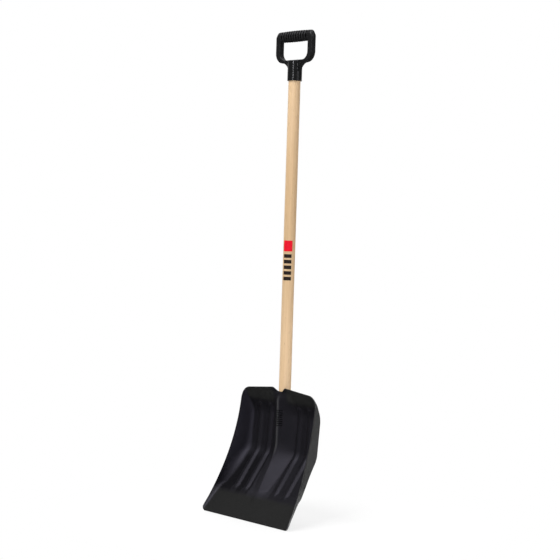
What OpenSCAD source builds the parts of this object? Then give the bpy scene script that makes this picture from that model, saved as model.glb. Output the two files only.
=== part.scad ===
// Snow shovel: a moulded scoop with a socket behind it, a round wooden shaft and a moulded D-grip,
// held together by three wood screws. Sizes are in millimetres.
//
// Frame: the origin is the middle of the leading edge's face. +Z runs up, parallel to the shaft,
// the scoop faces -Y, and +X is to the right of someone who faces the scoop.
// The modules draw each piece with the shaft's axis on Z, and on_axis() moves them into the frame.
// "Reach" is how far a surface stands in front of the shaft's axis, so its Y is minus the reach.

/* [Blade outline] */
// Width across the leading edge, before its corners are rounded
edge_w = 325; // [300:1:340]
// Width across the top edge, before its corners are rounded
top_w = 275; // [272:1:290]
// Height of the top edge at the shoulders of the notch
blade_h = 318.5; // [310:0.5:330]
// Drop of the top edge from the notch out to each corner
top_drop = 11; // [0:1:20]
// Radius of the top corners
top_corner_r = 26; // [20:1:32]
// Radius of the leading edge's corners
edge_corner_r = 12; // [8:1:20]
// Half width of the notch in front of the shaft
notch_half_w = 24; // [18:1:30]
// Depth of that notch
notch_d = 10; // [4:1:14]

/* [Blade shape] */
// Thickness of the moulded skin
skin = 3; // [2.4:0.1:4]
// Reach of the leading edge
edge_reach = 122; // [110:1:130]
// Lean of the lower half, away from the shaft's direction
lip_angle = 36.87; // [34:0.01:40]
// Depth that the ribbed floor lies below the flat lip
recess_d = 5; // [2:0.5:7]
// Height at which the flat lip ends
lip_h = 58; // [45:1:70]
// Reach of the upright half, at its foot
back_reach = 0; // [-4:0.5:4]
// Lean of the upright half
back_angle = 5; // [3:0.5:8]
// Reach of the flange along the top edge
flange_reach = 21; // [19:0.5:24]
// Lean of that flange
flange_angle = 29; // [24:1:34]
// Reach of the side walls' rims at the top corners
rim_reach = 21.5; // [21:0.5:24]
// Sideways run of a side wall for each millimetre that it stands up, in the lower half
wall_splay_low = 0.24; // [0.16:0.02:0.32]
// The same in the upper half
wall_splay_high = 0.32; // [0.24:0.02:0.4]
// Fillet between a side wall and the floor, along the lip and along the upper half
foot_r = 14; // [8:1:18]
// The same at the bend between the two halves
foot_r_bend = 23; // [16:1:26]

/* [Ribs] */
// Reach of the central hump, in front of the shaft
hump_reach = 21.5; // [21:0.5:23]
// Half width of the hump's foot
hump_half_w = 43; // [38:0.5:43]
// Height of the point where the hump's crest runs out on the lip
hump_tip_h = 38; // [30:1:45]
// Distance of the inner rib from the middle
rib_a_x = 54; // [54:1:60]
// Distance of the outer rib from the middle
rib_b_x = 92; // [84:1:92]
// Half width of a rib
rib_half_w = 11; // [7:0.5:11]
// Height of a rib above the ribbed floor
rib_h = 4.5; // [3:0.5:6]

/* [Shaft] */
// Diameter of the shaft
shaft_d = 30; // [29:0.1:31]
// Height of the shaft's lower end
shaft_z0 = 171; // [165:1:180]
// Height of the shaft's upper end, inside the grip
shaft_z1 = 1122; // [1100:1:1124]
// Chamfer on both ends
shaft_chamfer = 2; // [1:0.5:3]

/* [Grip] */
// Height of the whole shovel
overall_h = 1207; // [1202:1:1212]
// Width of the D-grip
grip_w = 132; // [126:1:138]
// Height of the hand bar, in its middle
bar_d = 29; // [27:0.5:31]
// Depth of the hand bar, front to back
bar_depth = 20; // [18:0.5:24]
// Depth of the grip's arms, front to back
arm_depth = 14.5; // [12:0.5:18]
// Width of the grip's arms
arm_w = 15.5; // [13:0.5:18]
// Outside diameter of the grip's socket
grip_socket_d = 36.5; // [34:0.5:37]
// Length of the socket, up to the foot of the opening
grip_socket_len = 52; // [48:1:54]
// Number of grooves in the hand bar
groove_n = 11; // [7:2:13]

/* [Fasteners] */
// Thread diameter of the wood screws
screw_d = 5; // [4:0.5:6]
// Length of a wood screw under its head
screw_len = 25; // [20:1:30]
// Radius of a wood screw's countersunk head
screw_head_r = 4.2; // [4:0.1:4.5]

/* [Printed mark] */
// Height of the mark's lower end
mark_z = 585; // [500:1:700]
// Thickness of the heat-transfer film
film = 0.15; // [0.1:0.05:0.3]

/* [Hidden] */

$fn = 64;
push_fit = 0.05;               // radial play of the shaft in both sockets
shaft_r = shaft_d / 2;
bore_r = shaft_r + push_fit;
tube_r = shaft_r + 3.6;        // blade socket, outside
tube_z0 = shaft_z0 - 5;        // closed foot of the blade socket
tube_z1 = blade_h - 30;
boss_r = 8;                    // flat pads around the screw heads
boss_y = 22;
grip_pad_r = 6;
grip_pad_y = grip_socket_d / 2 + 0.6;
blade_screw_z = [205, 255];
bar_r = bar_d / 2;
bar_z = overall_h - bar_r;
bar_end_r = bar_r - 1.8;
opening_h = 45;
grip_z1 = overall_h - bar_d - opening_h;
grip_z0 = grip_z1 - grip_socket_len;
grip_screw_z = grip_z0 + 17;
groove_pitch = 8.8;
groove_d = 1;
black_plastic = [0.13, 0.13, 0.13];

// ---- helpers ---------------------------------------------------------------------------------

function clamp01(t) = min(1, max(0, t));
function ease(t) = let (c = clamp01(t)) c * c * (3 - 2 * c);

// The larger of a and b, rounded off where they are within k of each other
function soft_max(a, b, k) = max(a, b) + pow(max(0, k - abs(a - b)), 2) / (4 * k);
function soft_min(a, b, k) = -soft_max(-a, -b, k);

module on_axis() {
    translate([0, edge_reach, 0]) children();
}

// ---- blade -----------------------------------------------------------------------------------

// Half width of the blade at height z: it flares towards the leading edge
function half_w(z) = top_w / 2 + (edge_w - top_w) / 2 * pow(clamp01(1 - z / (blade_h - top_drop)), 2.1);

// How far a rounded corner cuts into an edge, d inside the blade's side
function corner_cut(d, r) = d >= r ? 0 : r - sqrt(max(0, r * r - pow(r - d, 2)));

function top_z(x) =
    let (a = abs(x), side = half_w(blade_h))
    blade_h - notch_d * (1 - ease((a - 5) / (notch_half_w - 5)))
    - top_drop * clamp01((a - notch_half_w) / (side - notch_half_w))
    - corner_cut(side - a, top_corner_r);
function bottom_z(x) = corner_cut(half_w(0) - abs(x), edge_corner_r);

// Reach of each plane of the scoop, and of the floor that they make together
function lip_reach(z) = edge_reach - z * tan(lip_angle);
function seat_reach(z) = lip_reach(z) - recess_d * ease((z - lip_h) / 12);
function upright_reach(z) = back_reach - (z - lip_h - 96) * tan(back_angle);
function top_flange_reach(x, z) =
    let (out = clamp01((abs(x) - notch_half_w) / (top_w / 2 - notch_half_w)))
    flange_reach + (rim_reach - flange_reach) * out - (blade_h - top_drop * out - z) * tan(flange_angle);
function floor_reach(x, z) =
    soft_max(soft_max(seat_reach(z), upright_reach(z), 7), top_flange_reach(x, z), 9);

// Crest of the hump: it covers the shaft, then leans out and runs into the lip
function crest_reach(z) =
    soft_max(hump_reach, lip_reach(hump_tip_h) + (hump_tip_h - z) * tan(28.6), 10)
    - 6 * ease((z - blade_h + 31) / 22);
function hump_w(z) = hump_half_w * pow(clamp01((z - hump_tip_h) / 112), 0.4);

// A rib with a rounded top and an arched upper end
function rib(x, z, centre) =
    let (across = abs(abs(x) - centre) / rib_half_w, arch = blade_h - 50 - 10 * across * across)
    rib_h * (1 - ease((across - 0.1) / 0.85)) * ease((z - lip_h) / 10) * ease((arch - z) / 10 + 1);

function ribbed_reach(x, z) =
    let (flat = floor_reach(x, z), rise = max(0, crest_reach(z) - flat))
    flat + rise * clamp01(1 - abs(x) / max(1, hump_w(z))) + rib(x, z, rib_a_x) + rib(x, z, rib_b_x);

// Reach of the side walls' rims: a sweep from the top corners that runs out at the leading edge's corners
function rim(z) =
    let (drop = blade_h - top_drop - z,
         lip_wall = (7 + 0.25 * z) * ease(z / 26) + 0.01 * pow(max(0, z - 70), 2))
    soft_min(rim_reach + 0.068 * drop + 0.00088 * drop * drop, lip_reach(z) + lip_wall, 6);

function splay(z) = wall_splay_low + (wall_splay_high - wall_splay_low) * ease((z - 130) / 60);
function foot_radius(z) = foot_r + (foot_r_bend - foot_r) * ease(1 - abs(z - 130) / 60);

// The side walls fall away from the rim. Around each top corner they turn into the flange.
function wall(x, z, out, up, turn) =
    let (inset = top_corner_r - (up > 0 ? norm([out, up]) : out),
         steep = tan(flange_angle) * turn + (1 - turn) / splay(z),
         join = top_flange_reach(x, z) - rim(z) + (top_corner_r - up) * tan(flange_angle))
    rim(z) - inset * steep + join * turn;

// Height over the floor near a wall that stands rise above it, with a round foot of radius r
function fillet(rise, r, run_per_rise) =
    let (lean = atan(1 / run_per_rise), tangent = r * tan(lean / 2), run = rise * run_per_rise)
    run < -tangent ? 0
    : run < tangent * cos(lean) ? r - sqrt(max(0, r * r - pow(run + tangent, 2)))
    : rise;

// Reach of the middle of the skin
function reach(x, z) =
    let (body = ribbed_reach(x, z),
         out = abs(x) - half_w(z) + top_corner_r,
         up = z - blade_h + top_drop + top_corner_r,
         turn = up > 0 ? ease(atan2(up, max(out, 0.000001)) / 90) : 0)
    out > 0 || up <= 0
        ? body + fillet(wall(x, z, out, up, turn) - body, max(0.01, foot_radius(z) * (1 - turn)), splay(z))
        : body;

function middle(x, z) = [x, -reach(x, z), z];
function facing(x, z) =
    let (h = 0.5,
         sx = (reach(x + h, z) - reach(x - h, z)) / (2 * h),
         sz = (reach(x, z + h) - reach(x, z - h)) / (2 * h))
    -[sx, 1, sz] / norm([sx, 1, sz]);

// Columns of the skin's mesh stand on the hump, the ribs and the side walls; rows run up the blade
hump_columns = [0, 0.1, 0.35, 0.7, 1];
rib_columns = [for (c = [rib_a_x, rib_b_x], d = [-1, -0.5, 0, 0.5, 1]) c + d * rib_half_w];
n_hump = len(hump_columns);
wall_steps = [32, 27, 22, 17, 12.5, 8.5, 5, 2, 0];
n_floor = n_hump + len(rib_columns);
n_half = n_floor + len(wall_steps);
n_rows = 36;

function column_x(i, z) =
    i < n_hump ? hump_columns[i] * max(16, hump_w(z))
    : i < n_floor ? rib_columns[i - n_hump]
    : half_w(z) - wall_steps[i - n_floor];
function grid_x(c, z) = c < 0 ? -column_x(-c, z) : column_x(c, z);
function grid_z(c, row) =
    let (lo = bottom_z(grid_x(c, 0)), hi = top_z(grid_x(c, blade_h)))
    lo + (hi - lo) * row / (n_rows - 1);

function skin_points(side) = [
    for (c = [1 - n_half : n_half - 1], row = [0 : n_rows - 1])
        let (z = grid_z(c, row), x = grid_x(c, z))
        middle(x, z) + side * skin / 2 * facing(x, z)
];

function quad(a, b, c, d) = [[a, b, c], [a, c, d]];

module blade_skin() {
    n_cols = 2 * n_half - 1;
    back = n_cols * n_rows;
    function at(c, row) = c * n_rows + row;
    last_c = n_cols - 1;
    last_r = n_rows - 1;
    faces = [
        for (c = [0 : last_c - 1], r = [0 : last_r - 1])
            each concat(
                quad(at(c, r), at(c, r + 1), at(c + 1, r + 1), at(c + 1, r)),
                quad(back + at(c, r), back + at(c + 1, r), back + at(c + 1, r + 1), back + at(c, r + 1))
            ),
        for (c = [0 : last_c - 1])
            each concat(
                quad(at(c, 0), at(c + 1, 0), back + at(c + 1, 0), back + at(c, 0)),
                quad(at(c + 1, last_r), at(c, last_r), back + at(c, last_r), back + at(c + 1, last_r))
            ),
        for (r = [0 : last_r - 1])
            each concat(
                quad(at(0, r + 1), at(0, r), back + at(0, r), back + at(0, r + 1)),
                quad(at(last_c, r), at(last_c, r + 1), back + at(last_c, r + 1), back + at(last_c, r))
            )
    ];
    polyhedron(points = concat(skin_points(1), skin_points(-1)), faces = faces, convexity = 8);
}

// Cross rib behind the upright half, from the skin out to the socket's back
module gusset(z, half_span) {
    steps = 10;
    translate([0, 0, z])
        linear_extrude(3, center = true)
            polygon([
                for (i = [-steps : steps])
                    let (x = half_span * i / steps) [x, -reach(x, z)],
                [8, 17],
                [-8, 17]
            ]);
}

// Upright rib behind the hump, from the socket's foot down to the lip
module keel() {
    z0 = lip_h + 6;
    steps = 8;
    rotate([90, 0, -90])
        linear_extrude(3, center = true)
            polygon([
                for (i = [0 : steps])
                    let (z = z0 + (tube_z0 + 2 - z0) * i / steps) [reach(0, z), z],
                [-12, tube_z0 + 2]
            ]);
}

module socket_solid() {
    translate([0, 0, tube_z0]) cylinder(r = tube_r, h = tube_z1 - tube_z0);
    // webs that fill the room between the socket and the crest of the hump
    translate([-2.5, 0.5 - hump_reach, tube_z0]) cube([5, 8, tube_z1 - tube_z0 - 6]);
    translate([-6, 2.9 - hump_reach, tube_z0]) cube([12, 8, tube_z1 - tube_z0 - 6]);
    for (z = blade_screw_z)
        translate([0, boss_y, z]) rotate([90, 0, 0]) cylinder(r = boss_r, h = 8);
}

module blade() {
    color(black_plastic)
        difference() {
            union() {
                blade_skin();
                socket_solid();
                for (z = [184, 230, 276]) gusset(z, 60);
                keel();
            }
            translate([0, 0, shaft_z0 - 1]) cylinder(r = bore_r, h = blade_h);
            for (z = blade_screw_z) screw_hole(boss_y, z, 12);
        }
}

// ---- shaft -----------------------------------------------------------------------------------

module shaft() {
    c = shaft_chamfer;
    color([0.87, 0.72, 0.53])
        difference() {
            rotate_extrude()
                polygon([
                    [0, shaft_z0], [shaft_r - c, shaft_z0], [shaft_r, shaft_z0 + c],
                    [shaft_r, shaft_z1 - c], [shaft_r - c, shaft_z1], [0, shaft_z1]
                ]);
            for (z = blade_screw_z) screw_hole(boss_y, z, screw_len + 1);
            screw_hole(grip_pad_y, grip_screw_z, screw_len + 1);
        }
}

// ---- D-grip ----------------------------------------------------------------------------------

function bar_radius(x) =
    bar_r - (bar_r - bar_end_r) * pow(x / (grip_w / 2), 2)
    - (abs(x) < (groove_n / 2) * groove_pitch ? groove_d * pow(cos(180 * x / groove_pitch), 2) : 0);

// Hand bar: a round bar with a crown, ring grooves and rounded ends, flattened at its front and back
module hand_bar() {
    end = grip_w / 2;
    round_r = 7;
    steps = 132;
    translate([0, 0, bar_z])
        intersection() {
            rotate([0, 90, 0])
                rotate_extrude()
                    polygon([
                        [0, -end],
                        for (a = [0 : 15 : 75])
                            [bar_end_r - round_r + round_r * sin(a), -end + round_r * (1 - cos(a))],
                        for (i = [0 : steps])
                            let (x = (2 * i / steps - 1) * (end - round_r)) [bar_radius(x), x],
                        for (a = [75 : -15 : 0])
                            [bar_end_r - round_r + round_r * sin(a), end - round_r * (1 - cos(a))],
                        [0, end]
                    ]);
            cube([grip_w + 2, bar_depth, bar_d + 2], center = true);
        }
}

// Front outline of the arms and the neck, without the opening
module arms_outline() {
    half = grip_w / 2;
    foot_z = grip_z1 - 6.5;
    corner_r = 26;
    neck_w = 22;
    neck_h = 19;
    chord = 0.3;                   // share of a straight line in the neck's curve, the rest is an arc
    hull() {
        for (s = [-1, 1]) {
            translate([s * (half - corner_r), foot_z + corner_r]) circle(corner_r);
            translate([s * (half - 1) - 1, bar_z - 2]) square(2);
        }
    }
    polygon([
        for (s = [1, -1], k = [0 : 9])
            let (t = s > 0 ? k / 9 : 1 - k / 9, a = 90 * t)
            [s * (grip_socket_d / 2 - 0.5 + neck_w * (1 - chord * t - (1 - chord) * sin(a))),
             foot_z + 0.5 - neck_h * (chord * t + (1 - chord) * (1 - cos(a)))]
    ]);
}

module opening_outline() {
    half = grip_w / 2 - arm_w;
    r = 20;
    hull() {
        for (s = [-1, 1]) {
            translate([s * (half - r), grip_z1 + r]) circle(r);
            translate([s * (half - 4), bar_z - 4]) circle(4);
        }
    }
}

module d_grip() {
    color(black_plastic)
        difference() {
            union() {
                hand_bar();
                rotate([90, 0, 0])
                    linear_extrude(arm_depth, center = true)
                        difference() {
                            arms_outline();
                            opening_outline();
                        }
                translate([0, 0, grip_z0]) cylinder(d = grip_socket_d, h = grip_socket_len - 1.5);
                translate([0, grip_pad_y, grip_screw_z]) rotate([90, 0, 0]) cylinder(r = grip_pad_r, h = 8);
            }
            translate([0, 0, grip_z0 - 1]) cylinder(r = bore_r, h = shaft_z1 - grip_z0 + 2);
            screw_hole(grip_pad_y, grip_screw_z, 12);
        }
}

// ---- fasteners -------------------------------------------------------------------------------

// Countersunk wood screw with a square drive, its flat head on Z = 0 and its point downwards
module wood_screw() {
    root_r = screw_d / 2 - 0.6;
    pitch = 2;
    turns = floor((screw_len - 10) / pitch);
    color([0.62, 0.63, 0.65])
        difference() {
            rotate_extrude()
                polygon([
                    [0, 0], [screw_head_r, 0], [screw_d / 2, screw_d / 2 - screw_head_r], [screw_d / 2, -5],
                    for (i = [0 : turns])
                        each [[root_r, -5.6 - i * pitch], [root_r, -6.4 - i * pitch], [screw_d / 2, -7 - i * pitch]],
                    [root_r, -screw_len + 2.4], [0, -screw_len]
                ]);
            translate([-1.3, -1.3, -1.5]) cube([2.6, 2.6, 2]);
        }
}

module place_screw(seat_y, z) {
    translate([0, seat_y, z]) rotate([-90, 0, 0]) children();
}

// Countersunk hole for a wood screw whose head is flush with seat_y
module screw_hole(seat_y, z, depth) {
    place_screw(seat_y, z)
        rotate_extrude()
            polygon([
                [0, 1], [screw_head_r + push_fit + 1, 1], [screw_d / 2 + push_fit, screw_d / 2 - screw_head_r],
                [screw_d / 2 + push_fit, -depth], [0, -depth]
            ]);
}

module blade_screws() {
    for (z = blade_screw_z) place_screw(boss_y, z) wood_screw();
}

module grip_screw() {
    place_screw(grip_pad_y, grip_screw_z) wood_screw();
}

// ---- printed mark ----------------------------------------------------------------------------

// Patch of film on the shaft, from height z, turned a degrees from -Y towards +X
module film_patch(z, h, half_angle, a) {
    rotate([0, 0, -90 + a - half_angle])
        translate([0, 0, z])
            rotate_extrude(angle = 2 * half_angle)
                translate([shaft_r, 0]) square([film, h]);
}

module shaft_mark_red() {
    color([0.85, 0.05, 0.12]) film_patch(mark_z + 72, 27, 46, 33);
}

module shaft_mark_black() {
    color([0.08, 0.07, 0.06])
        for (i = [0 : 4]) film_patch(mark_z + i * 14, 9, 40, 33);
}

on_axis() blade();
on_axis() shaft();
on_axis() d_grip();
on_axis() blade_screws();
on_axis() grip_screw();
on_axis() shaft_mark_red();
on_axis() shaft_mark_black();
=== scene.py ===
"""Snow shovel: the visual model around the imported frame. The shape functions work in millimetres."""
import functools
import math
import types

import bpy
import numpy as np
from mathutils import Matrix, Vector


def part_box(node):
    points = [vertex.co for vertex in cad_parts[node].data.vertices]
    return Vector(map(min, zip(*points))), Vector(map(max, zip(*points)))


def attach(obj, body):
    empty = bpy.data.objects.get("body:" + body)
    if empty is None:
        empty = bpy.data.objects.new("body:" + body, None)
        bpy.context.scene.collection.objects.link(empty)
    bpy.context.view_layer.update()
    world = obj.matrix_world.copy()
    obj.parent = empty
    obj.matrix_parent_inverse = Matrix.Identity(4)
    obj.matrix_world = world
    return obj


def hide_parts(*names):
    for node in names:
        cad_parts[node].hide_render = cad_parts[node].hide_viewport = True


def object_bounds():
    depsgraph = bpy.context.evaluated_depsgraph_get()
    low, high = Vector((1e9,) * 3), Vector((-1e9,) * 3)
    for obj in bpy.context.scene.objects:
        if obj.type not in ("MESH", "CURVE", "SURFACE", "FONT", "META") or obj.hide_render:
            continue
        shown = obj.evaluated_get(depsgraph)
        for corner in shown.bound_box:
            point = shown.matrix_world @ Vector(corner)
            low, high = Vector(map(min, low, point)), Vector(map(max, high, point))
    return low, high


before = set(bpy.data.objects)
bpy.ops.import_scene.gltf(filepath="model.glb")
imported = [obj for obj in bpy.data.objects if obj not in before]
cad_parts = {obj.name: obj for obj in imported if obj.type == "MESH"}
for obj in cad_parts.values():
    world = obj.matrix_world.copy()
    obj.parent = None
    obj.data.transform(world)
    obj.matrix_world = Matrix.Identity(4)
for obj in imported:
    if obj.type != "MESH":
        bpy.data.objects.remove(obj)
CAD_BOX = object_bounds()

MM = 0.001


# ---- measures taken from the frame ---------------------------------------------------------------

def box_mm(node):
    """Low and high corner of a CAD node's box, in millimetres."""
    low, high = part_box(node)
    return np.array(low) / MM, np.array(high) / MM


BLADE_HIGH = box_mm("blade")[1]
SHAFT_LOW, SHAFT_HIGH = box_mm("shaft")
GRIP_LOW, GRIP_HIGH = box_mm("d_grip")
AXIS_Y = (SHAFT_LOW[1] + SHAFT_HIGH[1]) / 2
SHAFT_R = (SHAFT_HIGH[0] - SHAFT_LOW[0]) / 2


# ---- small helpers -------------------------------------------------------------------------------

def ease(t):
    """0 to 1 with a soft start and stop."""
    c = np.clip(t, 0, 1)
    return c * c * (3 - 2 * c)


def soft_max(a, b, k):
    """The larger of two values, blended where they are less than k apart."""
    return np.maximum(a, b) + np.maximum(0, k - np.abs(a - b)) ** 2 / (4 * k)


def soft_min(a, b, k):
    """The smaller of two values. On distances it is a union with a fillet."""
    return -soft_max(-a, -b, k)


def to_frame(x, reach, z):
    """Points in metres from sideways place, reach in front of the shaft's axis, and height."""
    return np.stack([x, AXIS_Y - reach, z], axis=-1) * MM


def enclosed_volume(points, faces):
    """Signed volume: negative when the faces look inwards."""
    corner = [points[faces[:, i]] for i in range(faces.shape[1])]
    total = 0.0
    for i in range(1, len(corner) - 1):
        total += (corner[0] * np.cross(corner[i], corner[i + 1])).sum()
    return total / 6


def make_mesh(name, points, faces, material, smooth_angle=None):
    """A smooth-shaded object whose faces look outwards. Edges over smooth_angle degrees stay sharp."""
    mesh = bpy.data.meshes.new(name)
    if enclosed_volume(points, faces) < 0:
        faces = faces[:, ::-1]
    mesh.from_pydata(points.tolist(), [], faces.tolist())
    mesh.validate()
    mesh.update()
    obj = bpy.data.objects.new(name, mesh)
    bpy.context.scene.collection.objects.link(obj)
    for poly in mesh.polygons:
        poly.use_smooth = True
    if smooth_angle is not None:
        mesh.set_sharp_from_angle(angle=math.radians(smooth_angle))
    mesh.materials.append(material)
    return obj


def place(obj, slot, *nodes):
    """Puts a finished piece on the shovel's one body, in the stead of CAD nodes."""
    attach(obj, "root")
    if nodes:
        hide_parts(*nodes)
    return obj


# ---- closed surface of a distance function -------------------------------------------------------

def grid_crossings(d, axes, step):
    """Along each axis: the grid edges that the surface crosses, where, and whether they start inside."""
    inside = d < 0
    found = []
    for axis in range(3):
        here = [slice(None)] * 3
        there = [slice(None)] * 3
        here[axis] = slice(0, -1)
        there[axis] = slice(1, None)
        a, b = d[tuple(here)], d[tuple(there)]
        starts_inside = inside[tuple(here)]
        i, j, k = np.nonzero(starts_inside != inside[tuple(there)])
        share = a[i, j, k] / (a[i, j, k] - b[i, j, k])
        point = np.stack([axes[0][i], axes[1][j], axes[2][k]], axis=1)
        point[:, axis] += share * step
        found.append((axis, np.stack([i, j, k], axis=1), point, starts_inside[i, j, k]))
    return found


def cells_around(edge, axis, cells):
    """The four cells round each grid edge, in turn, and which of them lie in the grid."""
    u, v = [(1, 2), (2, 0), (0, 1)][axis]
    for du, dv in ((1, 1), (0, 1), (0, 0), (1, 0)):
        cell = edge.copy()
        cell[:, u] -= du
        cell[:, v] -= dv
        yield cell, ((cell >= 0) & (cell < np.array(cells))).all(axis=1)


def surface_net(dist, low, high, step):
    """Quads on dist = 0, one vertex in each grid cell that the surface crosses."""
    counts = [int(math.ceil((h - l) / step)) + 1 for l, h in zip(low, high)]
    axes = [l + step * np.arange(n) for l, n in zip(low, counts)]
    grid = np.meshgrid(*axes, indexing="ij", sparse=True)
    crossings = grid_crossings(np.broadcast_to(dist(*grid), counts), axes, step)
    cells = tuple(n - 1 for n in counts)
    total = np.zeros(cells + (3,))
    hits = np.zeros(cells)
    for axis, edge, point, _ in crossings:
        for cell, ok in cells_around(edge, axis, cells):
            where = tuple(cell[ok].T)
            np.add.at(total, where, point[ok])
            np.add.at(hits, where, 1)
    used = hits > 0
    index = -np.ones(cells, int)
    index[used] = np.arange(used.sum())
    faces = []
    for axis, edge, _, starts_inside in crossings:
        around = list(cells_around(edge, axis, cells))
        ok = np.logical_and.reduce([in_grid for _, in_grid in around])
        ids = np.stack([index[tuple(cell[ok].T)] for cell, _ in around], axis=1)
        flip = ~starts_inside[ok]
        ids[flip] = ids[flip][:, ::-1]
        faces.append(ids)
    points = total[used] / hits[used][:, None]
    return settle(dist, points, step), np.concatenate(faces)


def settle(dist, points, step, rounds=3):
    """Moves points along the gradient onto dist = 0."""
    h = step * 0.1
    for _ in range(rounds):
        value = dist(*points.T)
        slope = np.stack([
            (dist(*(points + off).T) - dist(*(points - off).T)) / (2 * h) for off in np.eye(3) * h
        ], axis=1)
        size = np.maximum((slope ** 2).sum(axis=1), 0.2)
        move = slope * (value / size)[:, None]
        length = np.linalg.norm(move, axis=1, keepdims=True)
        points = points - move * np.minimum(1, step * 0.6 / np.maximum(length, 1e-9))
    return points


def rounded_join(*distances, r):
    """Intersection of slabs, with their shared edges rounded to r."""
    q = [d + r for d in distances]
    outside = np.sqrt(sum(np.maximum(v, 0) ** 2 for v in q))
    return np.minimum(functools.reduce(np.maximum, q), 0) + outside - r


def rounded_box_2d(x, y, half_x, low_y, high_y, r_low, r_high):
    """Signed distance to an upright rounded rectangle whose lower and upper corners differ."""
    mid = (low_y + high_y) / 2
    r = np.where(y < mid, r_low, r_high)
    qx = np.abs(x) - half_x + r
    qy = np.abs(y - mid) - (high_y - low_y) / 2 + r
    return np.minimum(np.maximum(qx, qy), 0) + np.hypot(np.maximum(qx, 0), np.maximum(qy, 0)) - r


# ---- blade: shape of the scoop -------------------------------------------------------------------

SKIN = 3.0
BLADE_H = BLADE_HIGH[2] - 0.13           # shoulders of the notch, on the middle of the skin
EDGE_HALF = 162.5                        # half width of the leading edge, before its corners
TOP_HALF = 137.5
TOP_DROP = 11.0
TOP_CORNER_R = 26.0
EDGE_CORNER_R = 12.0
NOTCH_HALF = 24.0
NOTCH_D = 10.0
EDGE_REACH = AXIS_Y                      # the leading edge stands on y = 0
LIP_SLOPE = math.tan(math.radians(36.87))
RECESS = 5.0
LIP_H = 58.0
SEAT_STEP = 12.0                         # height over which the seat sinks behind the lip
UPRIGHT_Z = LIP_H + 96                   # where the upright half meets the shaft's axis
UPRIGHT_SLOPE = math.tan(math.radians(5))
BEND_BLEND = 7.0                         # roundness of the floor's bend, and of the flange's crease
FLANGE_BLEND = 9.0
FLANGE_REACH = 21.0
FLANGE_SLOPE = math.tan(math.radians(29))
RIM_REACH = 21.5                         # the rims reach this far at the top and sweep forward below it
RIM_LEAN = 0.068
RIM_SWEEP = 0.00088
WALL_SPLAY_LOW = 0.24
WALL_SPLAY_HIGH = 0.32
HUMP_REACH = 21.5
HUMP_HALF = 43.0
HUMP_TIP = 38.0
HUMP_SLOPE = math.tan(math.radians(28.6))
RIBS = (54.0, 92.0)
RIB_HALF = 11.0
RIB_H = 4.5
RIB_RUN = 10.0                           # height over which a rib rises at either end
FOOT_R = 14.0
FOOT_R_BEND = 23.0
BEND_H = 130.0
INNER_FOOT_R_BEND = 34.0
INNER_BEND_H = 115.0
RIDGE_H = 2.2
RIDGE_HALF = 3.6


def half_width(z):
    """The outline widens towards the leading edge in a long curve."""
    rise = np.clip(1 - z / (BLADE_H - TOP_DROP), 0, 1)
    return TOP_HALF + (EDGE_HALF - TOP_HALF) * rise ** 2.1


def corner_cut(inset, r):
    """How far a round corner of radius r cuts an edge back, inset from the side."""
    return np.where(inset >= r, 0, r - np.sqrt(np.maximum(0, r * r - np.maximum(r - inset, 0) ** 2)))


def top_edge(x):
    """Height of the top edge: a notch in the middle, falling shoulders and round corners."""
    side = half_width(BLADE_H)
    a = np.abs(x)
    notch = NOTCH_D * (1 - ease((a - 5) / (NOTCH_HALF - 5)))
    slope = TOP_DROP * np.clip((a - NOTCH_HALF) / (side - NOTCH_HALF), 0, 1)
    return BLADE_H - notch - slope - corner_cut(side - a, TOP_CORNER_R)


def lower_edge(x):
    return corner_cut(half_width(0.0) - np.abs(x), EDGE_CORNER_R)


def lip_reach(z):
    return EDGE_REACH - z * LIP_SLOPE


def flange_reach(x, z):
    out = np.clip((np.abs(x) - NOTCH_HALF) / (TOP_HALF - NOTCH_HALF), 0, 1)
    below = BLADE_H - TOP_DROP * out - z
    return FLANGE_REACH + (RIM_REACH - FLANGE_REACH) * out - below * FLANGE_SLOPE


def floor_reach(x, z):
    """Lip, ribbed seat, upright half and top flange, blended into one floor."""
    seat = lip_reach(z) - RECESS * ease((z - LIP_H) / SEAT_STEP)
    upright = (UPRIGHT_Z - z) * UPRIGHT_SLOPE
    return soft_max(soft_max(seat, upright, BEND_BLEND), flange_reach(x, z), FLANGE_BLEND)


def crest_reach(z):
    """Top of the hump: it stands upright above the bend, and runs down to its tip on the lip."""
    crest = soft_max(HUMP_REACH, lip_reach(HUMP_TIP) + (HUMP_TIP - z) * HUMP_SLOPE, 10)
    return crest - 6 * ease((z - BLADE_H + 31) / 22)


def hump_width(z):
    return HUMP_HALF * np.clip((z - HUMP_TIP) / 112, 0, 1) ** 0.4


def rib_rise(x, z, centre):
    """A rib with a rounded top and distinct flanks, arched at its top end."""
    across = np.abs(np.abs(x) - centre) / RIB_HALF
    flanks = 1 - ease((across - 0.1) / 0.85)
    arch = BLADE_H - 50 - 10 * across ** 2
    return RIB_H * flanks * ease((z - LIP_H) / RIB_RUN) * ease((arch - z) / RIB_RUN + 1)


def rim_reach(z):
    """Front edge of the side walls: a long sweep that runs out into the corners of the leading edge."""
    drop = BLADE_H - TOP_DROP - z
    lip_wall = (7 + 0.25 * z) * ease(z / 26) + 0.01 * np.maximum(0, z - 70) ** 2
    return soft_min(RIM_REACH + RIM_LEAN * drop + RIM_SWEEP * drop * drop, lip_reach(z) + lip_wall, 6)


def wall_splay(z):
    """Sideways run of a side wall for each millimetre of its height: more above the bend."""
    return WALL_SPLAY_LOW + (WALL_SPLAY_HIGH - WALL_SPLAY_LOW) * ease((z - BEND_H) / 60)


def foot_radius(z):
    """Fillet between side wall and floor, roundest at the bend."""
    return FOOT_R + (FOOT_R_BEND - FOOT_R) * ease(1 - np.abs(z - BEND_H) / 60)


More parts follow.
